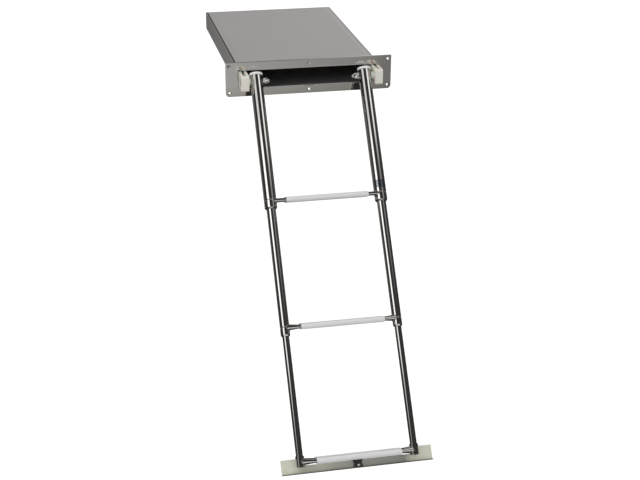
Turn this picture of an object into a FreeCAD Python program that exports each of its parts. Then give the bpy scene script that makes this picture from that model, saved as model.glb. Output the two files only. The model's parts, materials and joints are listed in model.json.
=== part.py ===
import FreeCAD, Part
import math
import os
import Sketcher

# Boarding ladder that stows in a flat cassette. Millimetres and degrees.
# Frame: X along the flange, +Y into the cassette, +Z up. The origin is on the flange's back
# face, on its upper lip, a stated height above the middle of the mouth.
# The ladder pieces are drawn hanging straight down from the pivot and leaned by their placement.

doc = FreeCAD.newDocument("boarding_ladder")
sheet = doc.addObject("Spreadsheet::Sheet", "Dims")


class Size:
    """A length that carries both its spreadsheet expression and its present value."""

    def __init__(self, text, value):
        self.text = text
        self.value = float(value)

    def _join(self, sign, other, value):
        unit = " mm" if sign in "+-" else ""
        right = other.text if isinstance(other, Size) else repr(other) + unit
        return Size("(" + self.text + " " + sign + " " + right + ")", value)

    def __add__(self, other):
        return self._join("+", other, self.value + number(other))

    def __sub__(self, other):
        return self._join("-", other, self.value - number(other))

    def __mul__(self, other):
        return self._join("*", other, self.value * number(other))

    def __truediv__(self, other):
        return self._join("/", other, self.value / number(other))

    def __neg__(self):
        return Size("(0 mm - " + self.text + ")", -self.value)


def number(item):
    return item.value if isinstance(item, Size) else float(item)


# Driving dimensions
DIMENSIONS = [
    ("flange_side_margin", 29.5),
    ("flange_lip", 19),
    ("flange_thickness", 3),
    ("flange_corner_radius", 9),
    ("origin_above_mouth", 28),
    ("bolt_inset_x", 9),
    ("bolt_inset_z", 9.5),
    ("bolt_hole", 5.5),
    ("bolt_sink", 9.5),
    ("housing_width", 351),
    ("housing_height", 47),
    ("housing_depth", 565),
    ("sheet_thickness", 2),
    ("sheet_bend_radius", 2.5),
    ("block_width", 18.5),
    ("block_side_gap", 0.5),
    ("block_bottom", 18),
    ("block_top", 19.5),
    ("block_reach", 48),
    ("block_length", 118),
    ("block_nose_radius", 5),
    ("block_groove_inset", 6),
    ("block_groove_width", 7),
    ("block_groove_depth", 9),
    ("pivot_forward", 24),
    ("pivot_bolt", 8),
    ("bolt_clearance", 0.05),
    ("bolt_head", 15),
    ("bolt_head_thickness", 6),
    ("bolt_recess", 24),
    ("bolt_end", 3),
    ("nut_flats", 13),
    ("nut_thickness", 9),
    ("nut_washer", 17),
    ("nut_washer_thickness", 2),
    ("nut_collar", 11.5),
    ("nut_collar_height", 3),
    ("nut_collar_taper", 0.5),
    ("pivot_spacer", 6),
    ("lean_angle", 36.5),
    ("upper_tube", 30),
    ("middle_tube", 22),
    ("lower_tube", 16),
    ("tube_wall", 1.5),
    ("tube_above_pivot", 13.5),
    ("tube_neck", 3),
    ("neck_gap", 0.3),
    ("groove_round", 2),
    ("groove_depth", 0.7),
    ("cap_overhang", 1.5),
    ("cap_rise", 6),
    ("cap_round", 2),
    ("cap_plug", 6),
    ("rung_1_at", 297),
    ("rung_2_at", 600),
    ("rung_3_at", 908),
    ("end_below_rung", 20.5),
    ("tube_overlap", 50),
    ("foot_below_rung", 12),
    ("bush_sleeve", 25),
    ("bush_gap", 0.08),
    ("collar_wall", 2),
    ("collar_above_rung", 13),
    ("rung_2_end_width", 21),
    ("rung_2_end_height", 16),
    ("rung_3_end_width", 18.2),
    ("rung_3_end_height", 18),
    ("rung_wall", 1.5),
    ("rung_flat_width", 28),
    ("rung_flat_height", 9),
    ("rung_taper", 32),
    ("tread_width", 34),
    ("tread_height", 14),
    ("tread_length", 198.5),
    ("tread_shift", 2),
    ("tread_tilt", 11.5),
    ("plate_overhang", 1),
    ("plate_above_rung", 8),
    ("plate_below_rung", 27),
    ("plate_thickness", 2),
    ("plate_lip", 8),
    ("notch_clearance", 0.5),
    ("latch_width", 22),
    ("latch_waist", 16.5),
    ("latch_knob", 7),
]
ALIAS = {}
for row, (alias, amount) in enumerate(DIMENSIONS, start=1):
    unit = "deg" if alias in ("lean_angle", "tread_tilt") else "mm"
    sheet.set("A%d" % row, alias)
    sheet.set("B%d" % row, str(amount))
    sheet.setAlias("B%d" % row, alias)
    scaled = "Dims." + alias + " * 1 " + unit
    ALIAS[alias] = Size("(" + scaled + ")", amount)
doc.recompute()


def size(alias):
    return ALIAS[alias]


def bind(item, prop, amount):
    """Sets a property to the present value and ties it to the spreadsheet."""
    item.setExpression(prop, amount.text)
    return item


def new_body(label):
    body = doc.addObject("PartDesign::Body", label)
    body.Label = label
    return body


def origin_plane(body, role):
    return [f for f in body.Origin.OriginFeatures if f.Role == role][0]


def new_sketch(body, role, name, offset=None, tilt=None):
    """A sketch on one of the body's own planes, lifted off it and turned in it when asked."""
    sketch = doc.addObject("Sketcher::SketchObject", name)
    body.addObject(sketch)
    sketch.AttachmentSupport = [(origin_plane(body, role), "")]
    sketch.MapMode = "FlatFace"
    lift = ZERO if offset is None else offset
    turn = ZERO if tilt is None else tilt
    sketch.AttachmentOffset = FreeCAD.Placement(
        FreeCAD.Vector(0, 0, lift.value), FreeCAD.Rotation(FreeCAD.Vector(0, 0, 1), turn.value)
    )
    if offset is not None:
        bind(sketch, "AttachmentOffset.Base.z", offset)
    if tilt is not None:
        bind(sketch, "AttachmentOffset.Rotation.Angle", tilt)
    return sketch


def pin_point(sketch, geo, pos, x, y):
    """Holds one point of the sketch at spreadsheet-driven coordinates."""
    for kind, amount in (("DistanceX", x), ("DistanceY", y)):
        index = sketch.addConstraint(
            Sketcher.Constraint(kind, -1, 1, geo, pos, amount.value)
        )
        sketch.setExpression("Constraints[%d]" % index, amount.text)


def draw_outline(sketch, points):
    """A closed outline of straight lines through the points."""
    first = sketch.GeometryCount
    count = len(points)
    for i in range(count):
        a = points[i]
        b = points[(i + 1) % count]
        start = FreeCAD.Vector(a[0].value, a[1].value, 0)
        end = FreeCAD.Vector(b[0].value, b[1].value, 0)
        sketch.addGeometry(Part.LineSegment(start, end), False)
    for i in range(count):
        after = first + (i + 1) % count
        sketch.addConstraint(Sketcher.Constraint("Coincident", first + i, 2, after, 1))
    for i, point in enumerate(points):
        pin_point(sketch, first + i, 1, point[0], point[1])


def draw_rectangle(sketch, x0, x1, y0, y1):
    draw_outline(sketch, [(x0, y0), (x1, y0), (x1, y1), (x0, y1)])


def draw_circle(sketch, x, y, diameter):
    centre = FreeCAD.Vector(x.value, y.value, 0)
    circle = Part.Circle(centre, FreeCAD.Vector(0, 0, 1), diameter.value / 2)
    geo = sketch.addGeometry(circle, False)
    pin_point(sketch, geo, 3, x, y)
    index = sketch.addConstraint(Sketcher.Constraint("Diameter", geo, diameter.value))
    sketch.setExpression("Constraints[%d]" % index, diameter.text)


def draw_oval(sketch, width, height):
    """A slot shape, centred: straight top and bottom, half-round ends along the first axis."""
    reach = (width - height) / 2
    r = height.value / 2
    c = reach.value
    up = FreeCAD.Vector(0, 0, 1)
    right = Part.Circle(FreeCAD.Vector(c, 0, 0), up, r)
    left = Part.Circle(FreeCAD.Vector(-c, 0, 0), up, r)
    quarter = math.pi / 2
    g0 = sketch.addGeometry(Part.ArcOfCircle(right, -quarter, quarter), False)
    g1 = sketch.addGeometry(
        Part.LineSegment(FreeCAD.Vector(c, r, 0), FreeCAD.Vector(-c, r, 0)), False
    )
    g2 = sketch.addGeometry(Part.ArcOfCircle(left, quarter, 3 * quarter), False)
    g3 = sketch.addGeometry(
        Part.LineSegment(FreeCAD.Vector(-c, -r, 0), FreeCAD.Vector(c, -r, 0)), False
    )
    for a, pa, b, pb in ((g0, 2, g1, 1), (g1, 2, g2, 1), (g2, 2, g3, 1), (g3, 2, g0, 1)):
        sketch.addConstraint(Sketcher.Constraint("Tangent", a, pa, b, pb))
    zero = ZERO
    pin_point(sketch, g0, 3, reach, zero)
    pin_point(sketch, g2, 3, -reach, zero)
    index = sketch.addConstraint(Sketcher.Constraint("Radius", g0, r))
    sketch.setExpression("Constraints[%d]" % index, (height / 2).text)


def pad(body, sketch, length, both=False, reverse=False):
    feature = doc.addObject("PartDesign::Pad", body.Label + "_pad")
    body.addObject(feature)
    feature.Profile = sketch
    feature.Length = length.value
    bind(feature, "Length", length)
    feature.Midplane = both
    feature.Reversed = reverse
    sketch.Visibility = False
    body.Tip = feature
    return feature


def pocket(body, sketch, length=None, reverse=False):
    feature = doc.addObject("PartDesign::Pocket", body.Label + "_cut")
    body.addObject(feature)
    feature.Profile = sketch
    if length is None:
        feature.Type = "ThroughAll"
        feature.Midplane = True
    else:
        feature.Length = length.value
        bind(feature, "Length", length)
        feature.Reversed = reverse
    sketch.Visibility = False
    body.Tip = feature
    return feature


def turned(body, sketch, kind="Revolution"):
    """A solid, or with the kind Groove a hollow, turned about the body's upright axis."""
    feature = doc.addObject("PartDesign::" + kind, body.Label + "_turned")
    body.addObject(feature)
    feature.Profile = sketch
    feature.ReferenceAxis = (sketch, ["V_Axis"])
    feature.Angle = 360.0
    sketch.Visibility = False
    body.Tip = feature
    return feature


def round_edges(body, label, radius, wanted):
    """Fillets the edges of the body's last feature whose middle passes the test."""
    doc.recompute()
    shape = body.Tip.Shape
    names = []
    for index, edge in enumerate(shape.Edges, start=1):
        middle = edge.valueAt((edge.FirstParameter + edge.LastParameter) / 2)
        if wanted(edge, middle):
            names.append("Edge%d" % index)
    base = body.Tip
    feature = doc.addObject("PartDesign::Fillet", label)
    body.addObject(feature)
    feature.Base = (base, names)
    feature.Radius = radius.value
    bind(feature, "Radius", radius)
    body.Tip = feature
    return feature


def runs_along(edge, axis):
    if len(edge.Vertexes) < 2:
        return False
    step = edge.Vertexes[1].Point - edge.Vertexes[0].Point
    return abs(step.normalize().dot(axis)) > 0.999


AXIS_X = FreeCAD.Vector(1, 0, 0)
AXIS_Y = FreeCAD.Vector(0, 1, 0)
ZERO = Size("0 mm", 0)

# Sizes that follow from the driving ones
half_box = size("housing_width") / 2
half_tall = size("housing_height") / 2
sheet_t = size("sheet_thickness")
half_flange_x = half_box + size("flange_side_margin")
half_flange_z = half_tall + size("flange_lip")
block_outer = half_box - sheet_t - size("block_side_gap")
block_inner = block_outer - size("block_width")
tube_outer_x = block_inner - size("pivot_spacer")
tube_inner_x = tube_outer_x - size("upper_tube")
HALF_SPACING = (tube_outer_x + tube_inner_x) / 2
taper_end = HALF_SPACING - size("rung_taper")
FINISHED = []


def finish(item, label, z=None):
    """Names a piece and sets its height, given from the middle of the mouth, in the frame."""
    item.Label = label
    drop = -size("origin_above_mouth")
    height = drop if z is None else z + drop
    place = item.Placement
    place.Base.z = height.value
    item.Placement = place
    bind(item, "Placement.Base.z", height)
    FINISHED.append((item, label))


def hang(item, label, x=ZERO, at=ZERO):
    """Leans a ladder piece whose own origin lies the distance at down from the pivot."""
    lean = math.radians(size("lean_angle").value)
    sine = Size("sin(Dims.lean_angle * 1 deg)", math.sin(lean))
    cosine = Size("cos(Dims.lean_angle * 1 deg)", math.cos(lean))
    y = -size("pivot_forward") - at * sine
    item.Placement = FreeCAD.Placement(
        FreeCAD.Vector(x.value, y.value, 0), FreeCAD.Rotation(AXIS_X, -size("lean_angle").value)
    )
    bind(item, "Placement.Base.x", x)
    bind(item, "Placement.Base.y", y)
    item.setExpression("Placement.Rotation.Angle", "0 deg - Dims.lean_angle * 1 deg")
    finish(item, label, -(at * cosine))


# Flange with its mouth and six countersunk holes
flange = new_body("flange_plate")
outline = new_sketch(flange, "XZ_Plane", "flange_outline")
draw_rectangle(outline, -half_flange_x, half_flange_x, -half_flange_z, half_flange_z)
pad(flange, outline, size("flange_thickness"))
round_edges(
    flange,
    "flange_corners",
    size("flange_corner_radius"),
    lambda e, m: runs_along(e, AXIS_Y) and m.z < 0,
)
mouth = new_sketch(flange, "XZ_Plane", "flange_mouth")
draw_rectangle(mouth, -half_box, half_box, -half_tall, half_tall)
pocket(flange, mouth)
drill_x = half_flange_x - size("bolt_inset_x")
drill_z = half_flange_z - size("bolt_inset_z")
drilled = new_sketch(flange, "XZ_Plane", "flange_holes")
for hole_x in (-drill_x, ZERO, drill_x):
    for hole_z in (-drill_z, drill_z):
        draw_circle(drilled, hole_x, hole_z, size("bolt_hole"))
pocket(flange, drilled)
doc.recompute()
drilled_flange = flange.Tip
rims = []
for index, edge in enumerate(drilled_flange.Shape.Edges, start=1):
    on_front = abs(edge.BoundBox.YMin + size("flange_thickness").value) < 0.01
    flat = edge.BoundBox.YLength < 0.01
    round_rim = edge.Curve.TypeId == "Part::GeomCircle" and len(edge.Vertexes) == 1
    if on_front and flat and round_rim:
        rims.append("Edge%d" % index)
sinks = doc.addObject("PartDesign::Chamfer", "flange_sinks")
flange.addObject(sinks)
sinks.Base = (drilled_flange, rims)
sinks.Size = (size("bolt_sink").value - size("bolt_hole").value) / 2
bind(sinks, "Size", (size("bolt_sink") - size("bolt_hole")) / 2)
flange.Tip = sinks
finish(flange, "flange_plate")

# Cassette, let through the flange: a folded tray, a lid on its two sides, and an end sheet
tray = new_body("housing_tray")
tray_section = new_sketch(tray, "XZ_Plane", "tray_section", size("flange_thickness"))
draw_outline(
    tray_section,
    [
        (-half_box, -half_tall),
        (half_box, -half_tall),
        (half_box, half_tall - sheet_t),
        (half_box - sheet_t, half_tall - sheet_t),
        (half_box - sheet_t, sheet_t - half_tall),
        (sheet_t - half_box, sheet_t - half_tall),
        (sheet_t - half_box, half_tall - sheet_t),
        (-half_box, half_tall - sheet_t),
    ],
)
pad(tray, tray_section, size("housing_depth") + size("flange_thickness"), reverse=True)
round_edges(
    tray,
    "tray_bends",
    size("sheet_bend_radius"),
    lambda e, m: runs_along(e, AXIS_Y) and m.z < -half_tall.value + 0.1,
)
finish(tray, "housing_tray")

lid = new_body("housing_lid")
lid_outline = new_sketch(lid, "XY_Plane", "lid_outline", half_tall - sheet_t)
lid_edge = half_box - sheet_t / 2
draw_rectangle(lid_outline, -lid_edge, lid_edge, -size("flange_thickness"), size("housing_depth"))
pad(lid, lid_outline, sheet_t)
finish(lid, "housing_lid")

back = new_body("housing_back")
back_outline = new_sketch(back, "XZ_Plane", "back_outline", -size("housing_depth"))
draw_rectangle(
    back_outline, sheet_t - half_box, half_box - sheet_t, sheet_t - half_tall, half_tall - sheet_t
)
pad(back, back_outline, sheet_t)
finish(back, "housing_back")

# Nylon guide blocks, standing out of the mouth, each with a groove along its top
full_height = half_tall - sheet_t


def guide_block(label, side):
    body = new_body(label)
    section = new_sketch(body, "YZ_Plane", label + "_side", block_inner * side)
    front = -size("block_reach")
    rear = size("block_length") - size("block_reach")
    step = size("flange_thickness")
    draw_outline(
        section,
        [
            (front, -size("block_bottom")),
            (ZERO, -size("block_bottom")),
            (step, -full_height),
            (rear, -full_height),
            (rear, full_height),
            (step, full_height),
            (ZERO, size("block_top")),
            (front, size("block_top")),
        ],
    )
    pad(body, section, block_outer - block_inner, reverse=side < 0)
    round_edges(
        body,
        label + "_nose",
        size("block_nose_radius"),
        lambda e, m: runs_along(e, AXIS_X) and m.y < front.value + 0.1,
    )
    groove = new_sketch(body, "XY_Plane", label + "_groove", full_height)
    inset = size("block_groove_inset")
    near = (block_inner + inset) * side
    far = (block_inner + inset + size("block_groove_width")) * side
    draw_rectangle(groove, near, far, front + inset, rear + inset)
    groove_depth = size("block_groove_depth") + full_height - size("block_top")
    pocket(body, groove, groove_depth)
    seat = new_sketch(body, "YZ_Plane", label + "_bore", block_inner * side)
    draw_circle(seat, -size("pivot_forward"), ZERO, size("pivot_bolt"))
    pocket(body, seat, size("housing_width"), reverse=side > 0)
    sink = new_sketch(body, "YZ_Plane", label + "_sink", block_outer * side)
    draw_circle(sink, -size("pivot_forward"), ZERO, size("bolt_recess"))
    pocket(body, sink, size("bolt_head_thickness"), reverse=side < 0)
    finish(body, label)


guide_block("guide_block_left", -1)
guide_block("guide_block_right", 1)

# Pivot bolts, spacers and lock nuts, laid on the pivot line
nut_top = size("nut_washer_thickness") + size("nut_thickness")
nut_whole = nut_top + size("nut_collar_height")


def lay_on_pivot(item, label, side):
    """Turns a piece drawn upright so that its axis lies on the pivot line, pointing outwards."""
    item.Placement = FreeCAD.Placement(
        FreeCAD.Vector(0, -size("pivot_forward").value, 0),
        FreeCAD.Rotation(AXIS_Y, 90 * side),
    )
    bind(item, "Placement.Base.y", -size("pivot_forward"))
    finish(item, label)


def pivot_bolt(label, side):
    body = new_body(label)
    section = new_sketch(body, "XZ_Plane", label + "_section")
    radius = size("pivot_bolt") / 2
    head = size("bolt_head") / 2
    start = tube_inner_x - nut_whole - size("bolt_end")
    top = block_outer
    draw_outline(
        section,
        [
            (ZERO, start),
            (radius, start),
            (radius, top - size("bolt_head_thickness")),
            (head, top - size("bolt_head_thickness")),
            (head, top - size("block_side_gap")),
            (ZERO, top - size("block_side_gap")),
        ],
    )
    turned(body, section)
    lay_on_pivot(body, label, side)


def pivot_spacer(label, side):
    body = new_body(label)
    ring = new_sketch(body, "XY_Plane", label + "_ring", tube_outer_x)
    draw_circle(ring, ZERO, ZERO, size("pivot_bolt"))
    draw_circle(ring, ZERO, ZERO, size("nut_washer"))
    pad(body, ring, block_inner - tube_outer_x)
    lay_on_pivot(body, label, side)


def pivot_nut(label, side):
    """Washer, hexagon and locking collar in one piece, with the bolt's end standing out."""
    hexagon = doc.addObject("Part::Prism", label + "_hexagon")
    hexagon.Polygon = 6
    bind(hexagon, "Circumradius", size("nut_flats") / math.sqrt(3))
    bind(hexagon, "Height", size("nut_thickness"))
    bind(hexagon, "Placement.Base.z", tube_inner_x - nut_top)
    washer = doc.addObject("Part::Cylinder", label + "_washer")
    bind(washer, "Radius", size("nut_washer") / 2)
    bind(washer, "Height", size("nut_washer_thickness"))
    bind(washer, "Placement.Base.z", tube_inner_x - size("nut_washer_thickness"))
    collar = doc.addObject("Part::Cone", label + "_collar")
    bind(collar, "Radius1", size("nut_collar") / 2 - size("nut_collar_taper"))
    bind(collar, "Radius2", size("nut_collar") / 2)
    bind(collar, "Height", size("nut_collar_height"))
    bind(collar, "Placement.Base.z", tube_inner_x - nut_whole)
    whole = doc.addObject("Part::MultiFuse", label + "_whole")
    whole.Shapes = [hexagon, washer, collar]
    bore = doc.addObject("Part::Cylinder", label + "_bore")
    bind(bore, "Radius", size("pivot_bolt") / 2)
    bind(bore, "Height", nut_whole)
    bind(bore, "Placement.Base.z", tube_inner_x - nut_whole)
    drilled_nut = doc.addObject("Part::Cut", label)
    drilled_nut.Base = whole
    drilled_nut.Tool = bore
    lay_on_pivot(drilled_nut, label, side)


for side, word in ((-1, "left"), (1, "right")):
    pivot_bolt("pivot_bolt_" + word, side)
    pivot_spacer("pivot_spacer_" + word, side)
    pivot_nut("pivot_nut_" + word, side)


# Telescopic tubes
def tube(label, side, diameter, top, bottom, inner_tube=None, groove_at=None, bore=None):
    """A tube from top to bottom, measured down from the pivot. Its lower end is necked in
    towards the tube that slides in it, and a groove is rolled round it at its rung."""
    body = new_body(label)
    section = new_sketch(body, "XZ_Plane", label + "_section")
    radius = diameter / 2
    inside = radius - size("tube_wall")
    if inner_tube is None:
        foot = [(inside, -bottom), (radius, -bottom)]
    else:
        neck = -(bottom - size("tube_neck"))
        mouth_inside = inner_tube / 2 + size("neck_gap")
        mouth_outside = mouth_inside + size("tube_wall")
        foot = [(inside, neck), (mouth_inside, -bottom), (mouth_outside, -bottom), (radius, neck)]
    draw_outline(section, [(inside, -top)] + foot + [(radius, -top)])
    turned(body, section)
    if groove_at is not None:
        roller = new_sketch(body, "XZ_Plane", label + "_roller")
        depth = size("groove_depth")
        reach = radius + size("groove_round") - depth
        draw_circle(roller, reach, -groove_at, size("groove_round") * 2)
        turned(body, roller, "Groove")
    if bore is not None:
        drill = new_sketch(body, "YZ_Plane", label + "_drill")
        draw_circle(drill, ZERO, ZERO, bore)
        pocket(body, drill)
    hang(body, label, HALF_SPACING * side)


def sleeve(label, side, rings):
    """A turned ring about the tube's axis: rows of inner radius, outer radius, top and bottom."""
    body = new_body(label)
    section = new_sketch(body, "XZ_Plane", label + "_section")
    draw_outline(section, rings)
    turned(body, section)
    hang(body, label, HALF_SPACING * side)


def bush(label, side, outer_tube, inner_tube, end):
    """The plastic bush above a tube's neck that guides the next tube."""
    bore = inner_tube / 2 + size("bush_gap")
    inside = outer_tube / 2 - size("tube_wall")
    low = -(end - size("tube_neck"))
    high = low + size("bush_sleeve")
    sleeve(label, side, [(bore, low), (inside, low), (inside, high), (bore, high)])


def cap(label, side):
    """The plastic cap that closes an upright's top end: a round-edged head on a plug."""
    inside = size("upper_tube") / 2 - size("tube_wall")
    rim = size("upper_tube") / 2 + size("cap_overhang")
    top = size("tube_above_pivot")
    crown = top + size("cap_rise")
    plug = top - size("cap_plug")
    body = new_body(label)
    section = new_sketch(body, "XZ_Plane", label + "_section")
    draw_outline(
        section,
        [(ZERO, plug), (inside, plug), (inside, top), (rim, top), (rim, crown), (ZERO, crown)],
    )
    turned(body, section)
    round_edges(
        body,
        label + "_edge",
        size("cap_round"),
        lambda e, m: e.Curve.TypeId == "Part::GeomCircle"
        and e.BoundBox.ZMin > crown.value - 0.1
        and e.Curve.Radius > rim.value - 0.1,
    )
    hang(body, label, HALF_SPACING * side)


upper_end = size("rung_1_at") + size("end_below_rung")
middle_end = size("rung_2_at") + size("end_below_rung")
lower_end = size("rung_3_at") + size("foot_below_rung")
bolt_hole = size("pivot_bolt") + size("bolt_clearance") * 2
for side, word in ((-1, "left"), (1, "right")):
    upper_start = -size("tube_above_pivot")
    middle_start = upper_end - size("tube_overlap")
    lower_start = middle_end - size("tube_overlap")
    tube(
        "upper_tube_" + word,
        side,
        size("upper_tube"),
        upper_start,
        upper_end,
        inner_tube=size("middle_tube"),
        groove_at=size("rung_1_at"),
        bore=bolt_hole,
    )
    cap("upper_cap_" + word, side)
    bush("upper_bush_" + word, side, size("upper_tube"), size("middle_tube"), upper_end)
    tube(
        "middle_tube_" + word,
        side,
        size("middle_tube"),
        middle_start,
        middle_end,
        inner_tube=size("lower_tube"),
        groove_at=size("rung_2_at"),
    )
    bush("middle_bush_" + word, side, size("middle_tube"), size("lower_tube"), middle_end)
    tube("lower_tube_" + word, side, size("lower_tube"), lower_start, lower_end)
    rim = size("lower_tube") / 2
    collar_outer = rim + size("collar_wall")
    collar_top = -(size("rung_3_at") - size("collar_above_rung"))
    sleeve(
        "foot_collar_" + word,
        side,
        [(rim, -lower_end), (collar_outer, -lower_end), (collar_outer, collar_top), (rim, collar_top)],
    )


# Rungs: a tube pressed flat under the tread, and from upright to upright on the first
def loft(body, label, kind, end_width, end_height, wall):
    """One ruled loft from upright to upright, its outline drawn in by the wall."""
    flat = (size("rung_flat_width"), size("rung_flat_height"))
    stations = [
        (-HALF_SPACING, end_width, end_height),
        (-taper_end, flat[0], flat[1]),
        (taper_end, flat[0], flat[1]),
        (HALF_SPACING, end_width, end_height),
    ]
    sections = []
    for x, width, height in stations:
        name = "%s_%s_%d" % (label, kind, len(sections))
        section = new_sketch(body, "YZ_Plane", name, x, size("tread_tilt"))
        draw_oval(section, width - wall * 2, height - wall * 2)
        section.Visibility = False
        sections.append(section)
    feature = doc.addObject("PartDesign::" + kind, label + "_" + kind)
    body.addObject(feature)
    feature.Profile = sections[0]
    feature.Sections = sections[1:]
    feature.Ruled = True
    body.Tip = feature


def rung(label, at, upright, end_width=None, end_height=None):
    """A rung with the given section at its ends, or flat from end to end."""
    body = new_body(label + "_tube")
    wall = size("rung_wall")
    if end_width is None:
        section = new_sketch(body, "YZ_Plane", label + "_section", tilt=size("tread_tilt"))
        flat = (size("rung_flat_width"), size("rung_flat_height"))
        draw_oval(section, flat[0], flat[1])
        draw_oval(section, flat[0] - wall * 2, flat[1] - wall * 2)
        pad(body, section, HALF_SPACING * 2, both=True)
    else:
        loft(body, label, "AdditiveLoft", end_width, end_height, ZERO)
        loft(body, label, "SubtractiveLoft", end_width, end_height, wall)
    posts = []
    for side, word in ((-1, "left"), (1, "right")):
        post = doc.addObject("Part::Cylinder", label + "_post_" + word)
        bind(post, "Radius", upright / 2)
        bind(post, "Height", HALF_SPACING)
        bind(post, "Placement.Base.x", HALF_SPACING * side)
        bind(post, "Placement.Base.z", -(HALF_SPACING / 2))
        posts.append(post)
    pair = doc.addObject("Part::MultiFuse", label + "_posts")
    pair.Shapes = posts
    coped = doc.addObject("Part::Cut", label)
    coped.Base = body
    coped.Tool = pair
    hang(coped, label, at=at)


def tread(label, at):
    """A plastic sleeve over the flattened middle of a rung, a little nearer one upright."""
    body = new_body(label)
    outer = new_sketch(body, "YZ_Plane", label + "_outer", size("tread_shift"), size("tread_tilt"))
    draw_oval(outer, size("tread_width"), size("tread_height"))
    draw_oval(outer, size("rung_flat_width"), size("rung_flat_height"))
    pad(body, outer, size("tread_length"), both=True)
    hang(body, label, at=at)


collar_size = size("lower_tube") + size("collar_wall") * 2
rung("rung_1", size("rung_1_at"), size("upper_tube"))
rung(
    "rung_2",
    size("rung_2_at"),
    size("middle_tube"),
    size("rung_2_end_width"),
    size("rung_2_end_height"),
)
rung(
    "rung_3",
    size("rung_3_at"),
    collar_size,
    size("rung_3_end_width"),
    size("rung_3_end_height"),
)
tread("tread_1", size("rung_1_at"))
tread("tread_2", size("rung_2_at"))
tread("tread_3", size("rung_3_at"))

# Foot plate: a strip welded behind the collars, notched under the rung, its lower edge turned
# forward in a lip
plate = new_body("foot_plate")
plate_front = collar_size / 2
plate_back = plate_front + size("plate_thickness")
plate_low = -size("plate_below_rung")
plate_half = half_box + size("plate_overhang")
notch_reach = size("rung_flat_width") / 2 - plate_front + size("notch_clearance")
narrowing = (size("rung_flat_width") - size("rung_3_end_width")) / 2
notch_half = taper_end + size("rung_taper") * notch_reach / narrowing
notch_top = -(size("tread_height") / 2) - size("notch_clearance") * 2
plate_outline = new_sketch(plate, "XZ_Plane", "plate_outline", -plate_back)
draw_outline(
    plate_outline,
    [
        (-plate_half, plate_low),
        (plate_half, plate_low),
        (plate_half, size("plate_above_rung")),
        (notch_half, size("plate_above_rung")),
        (notch_half, notch_top),
        (-notch_half, notch_top),
        (-notch_half, size("plate_above_rung")),
        (-plate_half, size("plate_above_rung")),
    ],
)
pad(plate, plate_outline, size("plate_thickness"))
lip = new_sketch(plate, "XY_Plane", "plate_lip_outline", plate_low)
draw_rectangle(lip, -plate_half, plate_half, plate_front - size("plate_lip"), plate_front)
pad(plate, lip, size("plate_thickness"))
round_edges(
    plate,
    "plate_bend",
    size("sheet_bend_radius"),
    lambda e, m: runs_along(e, AXIS_X)
    and m.z < plate_low.value + 0.1
    and m.y > plate_back.value - 0.1,
)
hang(plate, "foot_plate", at=size("rung_3_at"))

# Latch on the middle of the foot plate
latch = new_body("latch_body")
waist = new_sketch(latch, "XZ_Plane", "latch_outline", -plate_front)
half_latch = size("latch_width") / 2
half_waist = size("latch_waist") / 2
latch_top = notch_top
latch_low = plate_low + size("plate_thickness")
draw_outline(
    waist,
    [
        (-half_latch, latch_top),
        (-half_waist, (latch_top + latch_low) / 2),
        (-half_latch, latch_low),
        (half_latch, latch_low),
        (half_waist, (latch_top + latch_low) / 2),
        (half_latch, latch_top),
    ],
)
pad(latch, waist, size("latch_knob"))
hang(latch, "latch_body", at=size("rung_3_at"))

knob = doc.addObject("Part::Cylinder", "latch_knob_pin")
knob.Placement = FreeCAD.Placement(FreeCAD.Vector(0, 0, 0), FreeCAD.Rotation(AXIS_X, 90))
bind(knob, "Radius", size("latch_knob") / 2)
bind(knob, "Height", size("latch_knob") / 2)
bind(knob, "Placement.Base.y", plate_front - size("latch_knob"))
bind(knob, "Placement.Base.z", latch_low + size("latch_knob") / 2)
button = doc.addObject("Part::Sphere", "latch_knob_button")
bind(button, "Radius", size("latch_knob") / 2)
bind(button, "Placement.Base.y", plate_front - size("latch_knob") - size("latch_knob") / 2)
bind(button, "Placement.Base.z", latch_low + size("latch_knob") / 2)
pin = doc.addObject("Part::MultiFuse", "latch_knob")
pin.Shapes = [knob, button]
hang(pin, "latch_knob", at=size("rung_3_at"))

# Build, check and write one STEP file a piece
doc.recompute()
for item in doc.Objects:
    state = [str(flag) for flag in item.State]
    if "Invalid" in state or "Error" in state:
        raise RuntimeError("not built: " + item.Name + " " + item.Label)
os.makedirs("parts", exist_ok=True)
for item, label in FINISHED:
    shape = item.Shape
    if shape.isNull() or not shape.isValid():
        raise RuntimeError("bad shape: " + label)
    if len(shape.Solids) != 1:
        raise RuntimeError("not one solid: " + label)
    shape.exportStep("parts/" + label + ".step")
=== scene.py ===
import json
import math

import bpy
from mathutils import Matrix, Vector


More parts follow.
